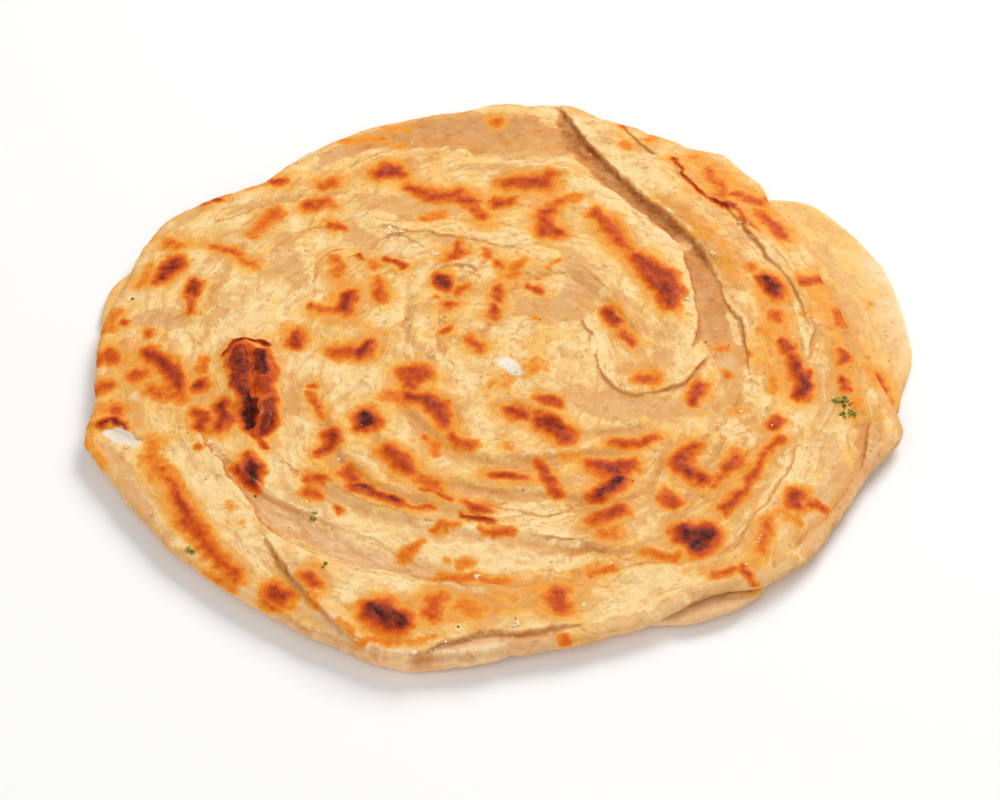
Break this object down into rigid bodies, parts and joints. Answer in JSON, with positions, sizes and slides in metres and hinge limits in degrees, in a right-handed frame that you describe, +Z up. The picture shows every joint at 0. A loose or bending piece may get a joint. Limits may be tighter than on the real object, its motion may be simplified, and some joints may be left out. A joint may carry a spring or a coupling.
{
  "type": "paratha flatbread",
  "caption": "Round griddle-fried layered flatbread: coiled, flaky top with lifted layer edges, browned spots and a thin bottom leaf showing past the rim.",
  "frame": {"origin": "on the resting surface, under the middle of the bread's box", "axes": "+Z up through the bread's thickness, +X to the right along its longest side, where the bottom leaf shows, -Y to the front, where the flap with the curled edge lies"},
  "size_m": [0.2208, 0.2114, 0.0091],
  "materials": {
    "griddled_crust": "matte, browned in spots, faintly oily"
  },
  "bodies": {
    "root": {"paratha": "griddled_crust"}
  },
  "joints": []
}
